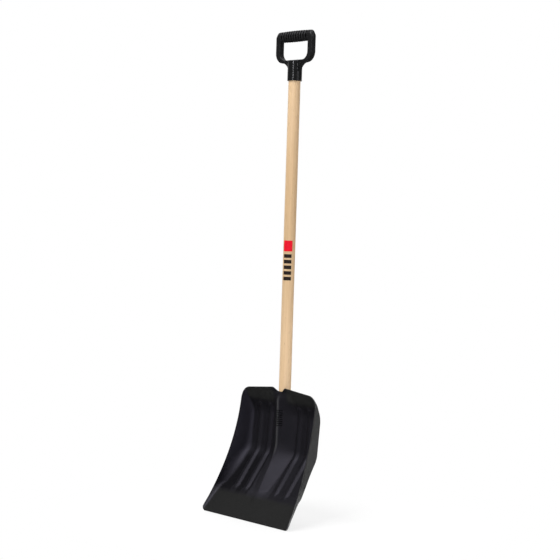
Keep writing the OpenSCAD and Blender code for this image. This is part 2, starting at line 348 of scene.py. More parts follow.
def inner_foot_radius(z):
    """The skin is thicker in the bend's corners, so the fillet is rounder on its front."""
    return FOOT_R + (INNER_FOOT_R_BEND - FOOT_R) * ease(1 - np.abs(z - INNER_BEND_H) / 80)


def corner_turn(out, up):
    """0 on the side walls, 1 on the flange, turning between them round the top corners."""
    return ease(np.degrees(np.arctan2(up, np.maximum(out, 1e-6))) / 90)


def wall_reach(x, z, out, up, turn):
    """Side walls fall away from their rims, and turn into the flange around the top corners."""
    rim = rim_reach(z)
    inset = TOP_CORNER_R - np.where(up > 0, np.hypot(out, up), out)
    steep = FLANGE_SLOPE * turn + (1 - turn) / wall_splay(z)
    join = flange_reach(x, z) - rim + (TOP_CORNER_R - up) * FLANGE_SLOPE
    return rim - inset * steep + join * turn


def foot_fillet(rise, r, run_per_rise):
    """Height over the floor where a wall would stand rise above it, with a round foot of radius r."""
    lean = np.arctan(1 / run_per_rise)
    run = rise * run_per_rise
    tangent = r * np.tan(lean / 2)
    arc = r - np.sqrt(np.maximum(r * r - np.clip(run + tangent, 0, r) ** 2, 0))
    return np.where(run < -tangent, 0, np.where(run < tangent * np.cos(lean), arc, rise))


def crest_ridge(x, z):
    """Low rounded ridge along the crest of the hump, above the bend."""
    ends = ease((z - BEND_H) / 30) * ease((BLADE_H - 18 - z) / 20)
    return RIDGE_H * np.exp(-(x / RIDGE_HALF) ** 2) * ends


def scoop_reach(x, z, foot=foot_radius):
    """How far the middle of the skin stands in front of the shaft's axis."""
    flat = floor_reach(x, z)
    rise = np.maximum(0, crest_reach(z) - flat)
    roof = 1 - np.abs(x) / np.maximum(1, hump_width(z))
    roof = soft_max(roof, 0, 0.06) - 0.02 * np.exp(-(x / 4.0) ** 2)
    body = flat + rise * roof + crest_ridge(x, z) + sum(rib_rise(x, z, c) for c in RIBS)
    out = np.abs(x) - half_width(z) + TOP_CORNER_R
    up = z - BLADE_H + TOP_DROP + TOP_CORNER_R
    turn = np.where(up > 0, corner_turn(out, up), 0.0)
    r = np.maximum(0.01, foot(z) * (1 - turn))
    lift = foot_fillet(wall_reach(x, z, out, up, turn) - body, r, wall_splay(z))
    return body + np.where((out > 0) | (up <= 0), lift, 0.0)


def scoop_normal(x, z):
    """Unit normals of the skin, from its slopes."""
    h = 0.4
    sx = (scoop_reach(x + h, z) - scoop_reach(x - h, z)) / (2 * h)
    sz = (scoop_reach(x, z + h) - scoop_reach(x, z - h)) / (2 * h)
    n = np.stack([-sx, np.ones_like(sx), -sz], axis=-1)
    return n / np.linalg.norm(n, axis=-1, keepdims=True)


# ---- blade: mesh ---------------------------------------------------------------------------------

ROWS = 160
EDGE_RINGS = 5                           # rings of points round the half-round edge
INNER_HALF = 104.0                       # columns stand upright within it, and follow the walls beyond it
INNER_COLUMNS = 56
OUTER_COLUMNS = 26
EDGE_BAND = 3.0                          # the outermost columns crowd together within it


def column_places(z):
    """Sideways places of one half's mesh columns at heights z."""
    side = half_width(z)
    inner = [0 * z + INNER_HALF * i / INNER_COLUMNS for i in range(INNER_COLUMNS)]
    band = side - EDGE_BAND - INNER_HALF
    outer = [INNER_HALF + band * i / OUTER_COLUMNS for i in range(OUTER_COLUMNS)]
    edge = [side - EDGE_BAND * (1 - math.sin(math.radians(15 * i))) for i in range(7)]
    return inner + outer + edge


def scoop_grid():
    """Columns by rows of (x, z) on the middle of the skin."""
    n_half = len(column_places(np.array([0.0])))
    xs, zs = [], []
    for c in range(-(n_half - 1), n_half):
        sign, i = (-1, -c) if c < 0 else (1, c)
        x_low = sign * column_places(np.array([0.0]))[i][0]
        x_high = sign * column_places(np.array([float(BLADE_H)]))[i][0]
        low, high = float(lower_edge(x_low)), float(top_edge(x_high))
        z = low + (high - low) * np.linspace(0, 1, ROWS)
        xs.append(sign * column_places(z)[i])
        zs.append(z)
    return np.array(xs), np.array(zs)


def rim_ring(cols, rows):
    """Column and row numbers of the grid's outermost points, once round."""
    ring = [(c, 0) for c in range(cols)]
    ring += [(cols - 1, k) for k in range(1, rows)]
    ring += [(c, rows - 1) for c in range(cols - 2, -1, -1)]
    ring += [(0, k) for k in range(rows - 2, 0, -1)]
    return np.array(ring).T


def rounded_sheet(middle, normal, fill):
    """Points and quads of a sheet of the skin's thickness with round edges. Fill thickens its front."""
    cols, rows, _ = middle.shape
    r = SKIN / 2
    ci, ri = rim_ring(cols, rows)
    rim_mid, rim_n = middle[ci, ri], normal[ci, ri]
    along = np.roll(rim_mid, -1, axis=0) - np.roll(rim_mid, 1, axis=0)
    outward = np.cross(along, rim_n)
    outward /= np.linalg.norm(outward, axis=1, keepdims=True)
    core = middle.copy()
    core[ci, ri] -= outward * r
    fill[ci, ri] = 0
    front = (core + normal * r + fill[..., None] * [0, -1, 0]).reshape(-1, 3)
    back = (core - normal * r).reshape(-1, 3)
    points = [front, back]
    n = cols * rows
    grid = np.arange(n).reshape(cols, rows)
    a, b, c, d = grid[:-1, :-1], grid[1:, :-1], grid[1:, 1:], grid[:-1, 1:]
    quads = [np.stack([a, b, c, d], axis=-1).reshape(-1, 4),
             np.stack([d, c, b, a], axis=-1).reshape(-1, 4) + n]
    rings = [grid[ci, ri]]
    for step in range(1, EDGE_RINGS + 1):
        angle = math.pi * step / (EDGE_RINGS + 1)
        points.append(core[ci, ri] + r * (rim_n * math.cos(angle) + outward * math.sin(angle)))
        rings.append(2 * n + (step - 1) * len(ci) + np.arange(len(ci)))
    rings.append(grid[ci, ri] + n)
    for p, q in zip(rings[:-1], rings[1:]):
        quads.append(np.stack([p, q, np.roll(q, -1), np.roll(p, -1)], axis=-1))
    return np.concatenate(points), np.concatenate(quads)


def build_scoop(material):
    x, z = scoop_grid()
    middle = np.stack([x, AXIS_Y - scoop_reach(x, z), z], axis=-1)
    facing = scoop_normal(x, z) * [1, -1, 1]
    fill = np.maximum(0, scoop_reach(x, z, inner_foot_radius) - scoop_reach(x, z))
    points, quads = rounded_sheet(middle, facing, fill)
    return make_mesh("blade_scoop", points * MM, quads, material)


# ---- blade: socket, screw pads, gussets and keel behind the scoop --------------------------------

SOCKET_WALL_R = SHAFT_R + 3.6
SOCKET_FOOT = SHAFT_LOW[2] - 5
SOCKET_HEAD = BLADE_H - 30
WEB_HALF = 7.0                           # the web joins the socket to the hump
PAD_R = 8.0
PAD_REACH = -22.0
SCREW_Z = (205.0, 255.0)
SCREW_HOLE_R = 2.6
SINK_REACH = 20.3                        # the screws' countersinks widen behind this reach
GUSSET_Z = (184.0, 230.0, 276.0)
GUSSET_ROOT = 8.0                        # the gussets slope down from the socket to the skin
GUSSET_HALF = 60.0
GUSSET_DEPTH = 17.0
PLATE_HALF = 1.5                         # half thickness of gussets and keel
KEEL_LOW = LIP_H + 6
BORE_GAP = 0.1


def gussets(x, reach, z):
    """Three cross plates that slope from the socket down to the skin."""
    share = (np.abs(x) - GUSSET_ROOT) / (GUSSET_HALF - GUSSET_ROOT)
    slope = share * (GUSSET_DEPTH + floor_reach(GUSSET_HALF, z)) - GUSSET_DEPTH - reach
    plates = [rounded_join(np.abs(z - level) - PLATE_HALF, slope * 0.9, np.abs(x) - GUSSET_HALF, r=0.7)
              for level in GUSSET_Z]
    return functools.reduce(lambda a, b: soft_min(a, b, 2.0), plates)


def keel(x, reach, z):
    """Upright plate from the foot of the socket down to the lip."""
    top = SOCKET_FOOT + 2
    share = (top - z) / (top - KEEL_LOW)
    spine = share * (lip_reach(KEEL_LOW) + 7) - 12 - reach
    return rounded_join(np.abs(x) - PLATE_HALF, spine * 0.8, z - top, KEEL_LOW - z, r=0.7)


def screw_holes(x, reach, z):
    sink = np.maximum(0, -reach - SINK_REACH)
    return functools.reduce(np.minimum, [np.hypot(x, z - level) - SCREW_HOLE_R - sink for level in SCREW_Z])


def back_distance(x, reach, z):
    """Everything behind the scoop, filleted into the skin and hollow for the shaft."""
    behind = (reach - scoop_reach(x, z)) * 0.85
    solid = rounded_join(np.hypot(x, reach) - SOCKET_WALL_R, SOCKET_FOOT - z, z - SOCKET_HEAD, r=1.0)
    web = rounded_join(np.abs(x) - WEB_HALF, -reach, SOCKET_FOOT - z, z - SOCKET_HEAD + 6, r=0.8)
    solid = soft_min(solid, web, 2.0)
    for level in SCREW_Z:
        pad = rounded_join(np.hypot(x, z - level) - PAD_R, PAD_REACH - reach, reach, r=0.8)
        solid = soft_min(solid, pad, 2.0)
    solid = soft_min(solid, gussets(x, reach, z), 2.0)
    solid = soft_min(solid, keel(x, reach, z), 2.0)
    solid = soft_min(solid, np.abs(behind) - 1.1, 2.5)
    bore = np.maximum(np.hypot(x, reach) - SHAFT_R - BORE_GAP, SHAFT_LOW[2] - 0.8 - z)
    solid = np.maximum(solid, -np.minimum(bore, np.maximum(screw_holes(x, reach, z), reach)))
    return np.maximum(solid, behind + 0.4)


def build_back(material):
    step = 1.25
    points, quads = surface_net(back_distance, [-66, -24, LIP_H], [66, 80, SOCKET_HEAD + 3], step)
    return make_mesh("blade_socket", to_frame(*points.T), quads, material, 50)


# ---- D-grip --------------------------------------------------------------------------------------

BAR_HALF_HEIGHT = 14.5
BAR_HALF_DEPTH = 10.0
BAR_Z = GRIP_HIGH[2] - BAR_HALF_HEIGHT
GRIP_HALF = (GRIP_HIGH[0] - GRIP_LOW[0]) / 2
SOCKET_R = 18.25
SOCKET_LOW = GRIP_LOW[2]
OPENING_LOW = SOCKET_LOW + 52.0
RING_LOW = OPENING_LOW - 6.5             # underside of the ring
ARM_W = 15.5
ARM_HALF_DEPTH = 7.25
ARM_ROUND = 1.6
NECK_W = 22.0
NECK_H = 19.0
NECK_CHORD = 0.3                         # share of a straight line in the neck's curve, beside an arc
GRIP_SCREW_Z = SOCKET_LOW + 17.0
GRIP_PAD_R = 6.0
BAR_CROWN = 1.8                          # the bar is thinner at its ends by this much
BAR_END_R = 8.5
GROOVES = 11
GROOVE_PITCH = 8.8
GROOVE_D = 1.8


def groove_depth(x):
    """Finger grooves across the hand bar, fading out at both ends of their run."""
    run = GROOVES / 2 * GROOVE_PITCH
    wave = np.cos(np.pi * x / GROOVE_PITCH) ** 2
    return GROOVE_D * wave ** 1.5 * ease((run - np.abs(x)) / 3)


def neck_low(x):
    """Underside of the neck that swells from the ring into the socket."""
    t = np.linspace(0, 1, 40)
    arc = np.radians(90 * t)
    inward = NECK_CHORD * t + (1 - NECK_CHORD) * np.sin(arc)
    drop = NECK_H * (NECK_CHORD * t + (1 - NECK_CHORD) * (1 - np.cos(arc)))
    return RING_LOW + 0.5 - np.interp((SOCKET_R - 0.5 + NECK_W - np.abs(x)) / NECK_W, inward, drop)


def oval_distance(a, b, half_a, half_b):
    """About the distance to an ellipse."""
    near = np.hypot(a / half_a, b / half_b)
    slope = np.hypot(a / half_a ** 2, b / half_b ** 2)
    return near * (near - 1) / np.maximum(slope, 1e-6)


def grip_ring(x, reach, z):
    """Hand bar and arms round the opening."""
    crown = BAR_CROWN * (x / GRIP_HALF) ** 2 + groove_depth(x)
    bar = oval_distance(reach, z - BAR_Z, BAR_HALF_DEPTH, BAR_HALF_HEIGHT) + crown
    bar = rounded_join(bar, np.abs(x) - GRIP_HALF, r=BAR_END_R)
    outline = rounded_box_2d(x, z, GRIP_HALF, RING_LOW, BAR_Z + 4, 26.0, 8.0)
    opening = rounded_box_2d(x, z, GRIP_HALF - ARM_W, OPENING_LOW, BAR_Z, 20.0, 4.0)
    arms = rounded_join(np.maximum(outline, -opening), np.abs(reach) - ARM_HALF_DEPTH, r=ARM_ROUND)
    return soft_min(bar, arms, 4.0)


def grip_distance(x, reach, z):
    """Ring, neck, socket and screw pad in one, hollow for the shaft and drilled for the screw."""
    top = z - OPENING_LOW
    depth = np.abs(reach) - ARM_HALF_DEPTH
    neck = rounded_join((neck_low(x) - z) * 0.75, np.abs(x) - 40, top + 0.5, depth, r=ARM_ROUND)
    tube = rounded_join(np.hypot(x, reach) - SOCKET_R, SOCKET_LOW - z, top + 1.2, r=0.9)
    from_screw = np.hypot(x, z - GRIP_SCREW_Z)
    pad = rounded_join(from_screw - GRIP_PAD_R, -reach - SOCKET_R - 0.6, reach, r=0.5)
    solid = soft_min(grip_ring(x, reach, z), neck, 2.0)
    solid = soft_min(solid, tube, 3.0)
    solid = soft_min(solid, pad, 1.5)
    bore = np.maximum(np.hypot(x, reach) - SHAFT_R - BORE_GAP, z - SHAFT_HIGH[2] - 0.5)
    hole = from_screw - SCREW_HOLE_R - np.maximum(0, -reach - SOCKET_R + 1.7)
    return np.maximum(solid, -np.minimum(bore, np.maximum(hole, reach)))


def build_grip(material):
    step = 0.8
    low = [GRIP_LOW[0] - 2, -20.5, SOCKET_LOW - 2]
    high = [GRIP_HIGH[0] + 2, SOCKET_R + 2, GRIP_HIGH[2] + 2]
    points, quads = surface_net(grip_distance, low, high, step)
    return make_mesh("grip_moulding", to_frame(*points.T), quads, material, 50)


# ---- shaft ---------------------------------------------------------------------------------------

SHAFT_SIDES = 96
SHAFT_ROWS = 250
CHAMFER = 2.0
GRAIN_WAVES = 40
GRAIN_DEPTH = 0.05


def shaft_grain(z, angle):
    """Shallow open grain: long waves that wind a little round the pole."""
    rng = np.random.default_rng(7)
    grain = np.zeros((len(z), len(angle)))
    for _ in range(GRAIN_WAVES):
        turn, length = rng.integers(9, 40), rng.uniform(60, 400)
        phase, drift = rng.uniform(0, 2 * np.pi, 2)
        sway = 1.5 * np.sin(2 * np.pi * z[:, None] / length + drift)
        grain += np.cos(turn * angle[None] + phase + sway)
    depth = GRAIN_DEPTH * np.clip(0.5 + grain / 12, 0, 1)
    depth[[0, 1, 2, -3, -2, -1]] = 0
    return depth


def shaft_cap(ring, centre, flip):
    """Quads that close one end of the pole round its centre point."""
    n = len(ring)
    quads = [[ring[k], ring[(k + 1) % n], ring[(k + 2) % n], centre] for k in range(0, n, 2)]
    return [[c, b, a, centre] for a, b, c, _ in quads] if flip else quads


def build_shaft(material):
    """A turned pole: straight, with shallow open grain and chamfered ends."""
    low, high = SHAFT_LOW[2], SHAFT_HIGH[2]
    body = np.linspace(low + 6, high - 6, SHAFT_ROWS)
    z = np.concatenate([[low, low, low + CHAMFER], body, [high - CHAMFER, high, high]])
    r = np.full(len(z), SHAFT_R)
    r[[0, -1]] = 4.0
    r[[1, -2]] = SHAFT_R - CHAMFER
    angle = np.linspace(0, 2 * np.pi, SHAFT_SIDES, endpoint=False)
    radius = r[:, None] - shaft_grain(z, angle)
    x = radius * np.cos(angle)
    reach = radius * np.sin(angle)
    points = to_frame(x, reach, np.broadcast_to(z[:, None], x.shape)).reshape(-1, 3)
    index = np.arange(len(points)).reshape(len(z), SHAFT_SIDES)
    following = np.roll(index, -1, axis=1)
    quads = np.stack([index[:-1], index[1:], following[1:], following[:-1]], axis=-1).reshape(-1, 4)
    centres = to_frame(np.zeros(2), np.zeros(2), np.array([low, high]))
    caps = shaft_cap(index[0], len(points), False) + shaft_cap(index[-1], len(points) + 1, True)
    points = np.concatenate([points, centres])
    return make_mesh("shaft_pole", points, np.concatenate([quads, caps]), material, 35)


# ---- materials -----------------------------------------------------------------------------------

class Shader:
    """A node material that is built from short calls."""

    def __init__(self, name):
        self.material = bpy.data.materials.new(name)
        self.material.use_nodes = True
        self.tree = self.material.node_tree
        self.tree.nodes.clear()
        self.out = self.tree.nodes.new("ShaderNodeOutputMaterial")
        self.place = self.tree.nodes.new("ShaderNodeTexCoord").outputs["Object"]

    def node(self, kind, inputs=None, **settings):
        made = self.tree.nodes.new("ShaderNode" + kind)
        for key, value in settings.items():
            setattr(made, key, value)
        for key, value in (inputs or {}).items():
            self.put(made.inputs[key], value)
        return made

    def put(self, socket, value):
        if isinstance(value, bpy.types.NodeSocket):
            self.tree.links.new(value, socket)
        else:
            socket.default_value = value

    def axes(self):
        """Sideways place, depth and height in the shovel's frame, in metres."""
        return self.node("SeparateXYZ", {0: self.place}).outputs

    def math(self, operation, a, b=0.0):
        return self.node("Math", {0: a, 1: b}, operation=operation).outputs[0]

    def times(self, a, b):
        return self.math("MULTIPLY", a, b)

    def flip(self, a):
        return self.math("SUBTRACT", 1.0, a)

    def fit(self, value, low, high, out_low=0, out_high=1, curve="LINEAR"):
        """Maps low to out_low and high to out_high, and stays between them."""
        made = self.node("MapRange", {"Value": value, "From Min": low, "From Max": high,
                                      "To Min": out_low, "To Max": out_high}, interpolation_type=curve)
        return made.outputs[0]

    def stretch(self, scale):
        return self.node("Mapping", {"Vector": self.place, "Scale": scale}).outputs[0]

    def noise(self, place, scale, detail=3.0, rough=0.5):
        made = self.node("TexNoise", {"Vector": place, "Scale": scale, "Detail": detail, "Roughness": rough})
        return made.outputs["Fac"]

    def blend(self, factor, a, b, mode="MIX"):
        made = self.node("Mix", data_type="RGBA", blend_type=mode)
        self.put(made.inputs["Factor"], factor)
        self.put(made.inputs[6], a if isinstance(a, bpy.types.NodeSocket) else (*a, 1))
        self.put(made.inputs[7], b if isinstance(b, bpy.types.NodeSocket) else (*b, 1))
        return made.outputs[2]

    def bump(self, height, distance, strength=1.0, below=None):
        inputs = {"Height": height, "Distance": distance, "Strength": strength}
        if below is not None:
            inputs["Normal"] = below
        return self.node("Bump", inputs).outputs[0]

    def finish(self, **inputs):
        surface = self.node("BsdfPrincipled", inputs)
        self.tree.links.new(surface.outputs[0], self.out.inputs["Surface"])
        return self.material


def grey(value):
    return value, value, value


SHEEN = 0.27                             # how strongly the plastic mirrors the studio
FLANGE_H = 278.0                         # the scoop's flange, above this height, is as dull as its lip
NOTCH_SHINE = (18.0, 30.0)               # beside the notch the flange turns from smooth to dull
WALL_FROM = (100.0, 115.0)               # the side walls begin this far from the middle
TICK_PITCH = 5.2                         # cross grooves on the crest of the hump
TICK_HALF = 11.0
TICK_LOW = 221.0
TICK_HIGH = 262.0
GLINT_HALF = 2.6                          # painted highlight: a lighter line along the crest
GLINT_TOP = 285.0


def sideways_masks(s):
    """1 on faces of the side walls that look away from the shovel, and 1 on those that look inwards."""
    normal = s.tree.nodes.new("ShaderNodeNewGeometry").outputs["Normal"]
    facing = s.node("SeparateXYZ", {0: normal}).outputs[0]
    x = s.axes()[0]
    away = s.times(facing, s.math("SIGN", x))
    wall = s.fit(s.math("ABSOLUTE", x), WALL_FROM[0] * MM, WALL_FROM[1] * MM)
    outside = s.times(s.fit(away, 0.12, 0.42), wall)
    inside = s.times(s.fit(away, -0.12, -0.40), wall)
    return outside, inside


def crest_ticks_and_glint(s):
    """A row of fine cross grooves on the crest of the hump, and a painted highlight along the crest."""
    x, _, z = s.axes()
    across = s.math("ABSOLUTE", x)
    wave = s.math("SINE", s.times(z, 2 * math.pi / (TICK_PITCH * MM)))
    groove = s.fit(wave, -0.2, 0.5)
    near = s.fit(across, (TICK_HALF + 1.5) * MM, TICK_HALF * MM)
    low = s.fit(z, TICK_LOW * MM, (TICK_LOW + 1) * MM)
    high = s.fit(z, (TICK_HIGH + 1) * MM, TICK_HIGH * MM)
    ticks = s.times(s.times(groove, near), s.times(low, high))
    # painted highlight: a lighter line along the crest, from above the bend to near the top
    line = s.fit(across, (GLINT_HALF + 2) * MM, GLINT_HALF * MM)
    start = s.fit(z, (BEND_H + 18) * MM, (BEND_H + 45) * MM)
    stop = s.fit(z, (GLINT_TOP + 15) * MM, GLINT_TOP * MM)
    worn = s.times(line, s.times(start, stop))
    return ticks, worn


def rib_shade(s):
    """Below the bend: 1 in the grooves beside the ribs, 1 on the ribs, and 1 on the hump; they carry painted
    shade and a painted highlight.
    """
    x, _, z = s.axes()
    across = s.math("ABSOLUTE", x)
    inner, outer = [s.math("ABSOLUTE", s.math("SUBTRACT", across, rib * MM)) for rib in RIBS]
    beside = s.math("MINIMUM", inner, outer)
    groove = s.fit(beside, 0.8 * RIB_HALF * MM, 1.1 * RIB_HALF * MM)
    rib = s.flip(groove)                 # a rib is where no groove is
    hump = s.fit(across, (HUMP_HALF - 1) * MM, (HUMP_HALF - 7) * MM)
    groove = s.times(groove, s.flip(hump))
    # the painted shade in the grooves fades from the left side to the right
    groove = s.times(groove, s.fit(x, -20 * MM, 20 * MM, 1.0, 0.3))
    low = s.fit(z, (BEND_H + 22) * MM, (BEND_H + 2) * MM)
    return [s.times(mask, low) for mask in (groove, rib, hump)]


def grip_grooves(s):
    """1 at the bottom of the hand bar's finger grooves, and 1 on the ridges between them."""
    x, _, z = s.axes()
    wave = s.math("COSINE", s.times(x, math.pi / (GROOVE_PITCH * MM)))
    deep = s.fit(s.times(wave, wave), 0.25, 0.75)
    run = GROOVES / 2 * GROOVE_PITCH * MM
    inside = s.fit(s.math("ABSOLUTE", x), run, run - 3 * MM)
    upper = s.fit(z, (BAR_Z - 10) * MM, (BAR_Z - 4) * MM)
    grooved = s.times(inside, upper)
    ridge = s.flip(deep)
    return s.times(deep, grooved), s.times(ridge, grooved)


def grip_plastic(name, shades, tint):
    """The grip's plastic: satin on the hand bar and the arms, glossy on the socket."""
    s = Shader(name)
    cloud = s.noise(s.place, 14, 4)
    speck = s.noise(s.place, 520, 3, 0.7)
    groove, ridge = grip_grooves(s)
    color = s.blend(cloud, *shades)
    color = s.blend(s.fit(speck, 0.5, 0.72, 0, 0.35), color, tuple(2.2 * c for c in shades[1]))
    # painted shade at the bottom of the finger grooves
    color = s.blend(s.times(groove, 0.95), color, grey(0.0008))
    # painted highlight on the ridges between the finger grooves
    color = s.blend(s.times(ridge, 0.5), color, (0.026, 0.026, 0.027))
    satin = s.fit(s.axes()[2], (OPENING_LOW - 4) * MM, (OPENING_LOW + 3) * MM)
    rough = s.math("ADD", s.fit(cloud, 0.3, 0.7, 0.15, 0.20), s.times(satin, 0.28))
    # sheen turned down in the finger grooves: painted shade
    sheen = s.fit(groove, 0, 1, SHEEN, 0.03)
    grain = s.bump(s.noise(s.place, 1400, 2, 0.6), 0.0002, 0.35)
    waves = s.bump(s.noise(s.place, 26, 2), 0.0016, 0.03, grain)
    return s.finish(**{
        "Base Color": color, "Roughness": rough, "IOR": 1.49, "Specular IOR Level": sheen,
        "Specular Tint": (*tint, 1), "Normal": waves})


def scoop_masks(s):
    """Where each finish of the scoop, and each patch of painted light and shade, lies, from 0 to 1."""
    x, _, z = s.axes()
    m = types.SimpleNamespace()
    m.ticks, m.worn = crest_ticks_and_glint(s)
    m.side, m.inside = sideways_masks(s)
    wavy = s.math("ADD", z, s.times(s.noise(s.place, 40, 3), 8 * MM))
    beside_notch = s.fit(s.math("ABSOLUTE", x), NOTCH_SHINE[0] * MM, NOTCH_SHINE[1] * MM)
    m.flange = s.times(s.fit(wavy, FLANGE_H * MM, (FLANGE_H + 12) * MM), beside_notch)
    lip = s.fit(wavy, (LIP_H + 4) * MM, (LIP_H - 6) * MM)
    m.lip = s.times(s.math("MAXIMUM", lip, m.flange), s.flip(m.inside))
    smooth = s.flip(s.math("MAXIMUM", m.inside, m.lip))
    groove, rib, m.hump = rib_shade(s)
    m.groove, m.rib = s.times(groove, smooth), s.times(rib, smooth)
    m.upper = s.fit(z, 75 * MM, 150 * MM)
    m.beside_lip = s.fit(z, (LIP_H + 6) * MM, (LIP_H - 6) * MM)
    # painted light: the outward faces of the walls grow lighter towards their foot
    m.scraped = s.fit(z, 95 * MM, 5 * MM)
    scratch = s.fit(s.noise(s.stretch((420, 420, 16)), 1.0, 3, 0.6), 0.64, 0.72)
    m.scuff = s.times(scratch, s.fit(z, 70 * MM, 0.0, 0.04, 0.5))
    return m


def scoop_color(s, m, cloud, speck, shades):
    """Dark plastic, overlaid with one layer after another: the plastic's own finishes and wear, and painted
    light and shade.
    """
    fleck = s.fit(speck, 0.40, 0.68)
    lip_tone = s.blend(fleck, grey(0.0062), grey(0.0145))
    flange_tone = s.blend(fleck, grey(0.0125), grey(0.0250))
    # outward faces of the walls: a real speckle, painted lighter as if lit from the side, lighter still at
    # their foot
    lit_side_tone = s.blend(fleck, grey(0.034), grey(0.072))
    scraped_tone = s.blend(fleck, grey(0.150), grey(0.310))
    # inward faces of the walls: painted shade, darker low down and lighter higher up
    inner_shade_tone = s.blend(m.upper, (0.0070, 0.0067, 0.0090), (0.0190, 0.0181, 0.0250))
    color = s.blend(cloud, *shades)
    for mask, tone in (
            # painted highlight on the hump below the bend
            (m.hump, (0.0150, 0.0145, 0.0180)),
            # painted shade in the grooves beside the ribs, below the bend
            (m.groove, (0.0045, 0.0044, 0.0052)),
            # inward faces of the walls: painted shade, and a painted highlight beside the lip
            (m.inside, s.blend(m.beside_lip, inner_shade_tone, (0.032, 0.031, 0.036))),
            # painted highlight along the crest
            (m.worn, (0.042, 0.042, 0.043)),
            (m.lip, s.blend(m.flange, lip_tone, flange_tone)),
            # outward faces of the walls: speckled, and painted light
            (m.side, s.blend(m.scraped, lit_side_tone, scraped_tone)),
            # painted shade in the cross grooves on the crest
            (s.times(m.ticks, 0.85), grey(0.001)),
            (m.scuff, (0.040, 0.040, 0.042))):
        color = s.blend(mask, color, tone)
    return color


def scoop_plastic(name, gloss, shades, tint):
    """The scoop's plastic: below the ribs and on outward faces it has a dull, speckled texture."""
    s = Shader(name)
    m = scoop_masks(s)
    cloud = s.noise(s.place, 14, 4)
    speck = s.noise(s.place, 520, 3, 0.7)
    dull = s.math("MAXIMUM", m.lip, m.side)
    # Sheen is turned down in the grooves, on the ribs, in the ticks and low on the inner walls: painted
    # shade.
    shaded = s.times(m.inside, s.math("SUBTRACT", s.flip(m.upper), m.beside_lip))
    hollow = s.math("MAXIMUM", s.times(m.groove, 0.5), s.times(m.rib, 0.25))
    hollow = s.math("MAXIMUM", hollow, s.times(shaded, 0.5))
    hollow = s.math("MAXIMUM", m.ticks, hollow)
    rough = s.math("ADD", s.fit(cloud, 0.3, 0.7, gloss, gloss + 0.08), s.times(dull, 0.15))
    grain = s.bump(s.noise(s.place, 1400, 2, 0.6), 0.0002, 0.35)
    pebble = s.bump(speck, 0.0005, s.times(dull, 0.45), grain)
    waves = s.bump(s.noise(s.place, 26, 2), 0.0016, 0.12, pebble)
    return s.finish(**{
        "Base Color": scoop_color(s, m, cloud, speck, shades), "Roughness": rough, "IOR": 1.49,
        "Specular IOR Level": s.fit(hollow, 0, 1, SHEEN, 0.02),
        "Specular Tint": s.blend(dull, tint, grey(0.95)),
        "Normal": s.bump(s.times(m.ticks, -1.0), 0.0008, 0.8, waves)})


HANDLED_Z = 680.0                        # middle of the pole's handled stretch, which is darker
HANDLED_HALF = 420.0
PITH = (31.0, -94.0)                     # the pole's grain curves round a line at -x, -y from this


def growth_rings(s):
    """Late wood, from 0 to 1, in rings round a pith that runs outside the pole."""
    warp = s.noise(s.stretch((9, 9, 0.9)), 1.0, 2)
    x, y, _ = s.axes()
    x, y = s.math("ADD", x, PITH[0] * MM), s.math("ADD", y, PITH[1] * MM)
    span = s.math("SQRT", s.math("ADD", s.times(x, x), s.times(y, y)))
    rings = s.math("ADD", s.times(span, 2200.0), s.times(warp, 34.0))
    line = s.math("ADD", s.times(s.math("SINE", rings), 0.5), 0.5)
    return s.math("POWER", line, 3.0)


def ash_wood(name):
    """Pale straight-grained wood under a thin satin lacquer."""
    s = Shader(name)
    late = growth_rings(s)
    fibre = s.noise(s.stretch((1300, 1300, 9)), 1.0, 3, 0.6)
    streak = s.noise(s.stretch((150, 150, 1.6)), 1.0, 3)
    cloud = s.noise(s.stretch((30, 30, 3)), 1.0, 2)
    pore = s.noise(s.stretch((500, 500, 60)), 1.0, 1)
    from_middle = s.math("ABSOLUTE", s.math("SUBTRACT", s.axes()[2], HANDLED_Z * MM))
    handled = s.fit(from_middle, HANDLED_HALF * MM, 0.0, curve="SMOOTHSTEP")
    color = s.blend(s.fit(streak, 0.35, 0.65), (0.80, 0.567, 0.340), (0.715, 0.488, 0.275))
    color = s.blend(s.fit(cloud, 0.3, 0.7, 0, 0.55), color, (0.835, 0.625, 0.410))
    color = s.blend(s.times(late, 0.42), color, (0.56, 0.345, 0.165))
    color = s.blend(s.fit(fibre, 0.56, 0.72, 0, 0.45), color, (0.50, 0.31, 0.15))
    color = s.blend(s.fit(pore, 0.70, 0.76, 0, 0.5), color, (0.38, 0.22, 0.10))
    color = s.blend(handled, color, (0.83, 0.80, 0.74), "MULTIPLY")
    relief = s.bump(late, 0.00012, 0.35, s.bump(fibre, 0.0002, 0.5))
    return s.finish(**{
        "Base Color": color, "Roughness": s.fit(fibre, 0.3, 0.7, 0.36, 0.55), "IOR": 1.5, "Normal": relief,
        "Coat Weight": 0.15, "Coat Roughness": 0.3, "Coat IOR": 1.45})


def zinc_steel(name):
    """Zinc-plated steel: cool grey, turned marks and dull patches."""
    s = Shader(name)
    patch = s.noise(s.place, 420, 3)
    color = s.blend(s.fit(patch, 0.35, 0.7), (0.52, 0.53, 0.55), (0.66, 0.66, 0.64))
    rough = s.fit(patch, 0.3, 0.7, 0.22, 0.42)
    marks = s.bump(s.noise(s.stretch((3000, 400, 3000)), 1.0, 2), 0.00005, 0.5)
    return s.finish(**{"Base Color": color, "Metallic": 1.0, "Roughness": rough, "Normal": marks})


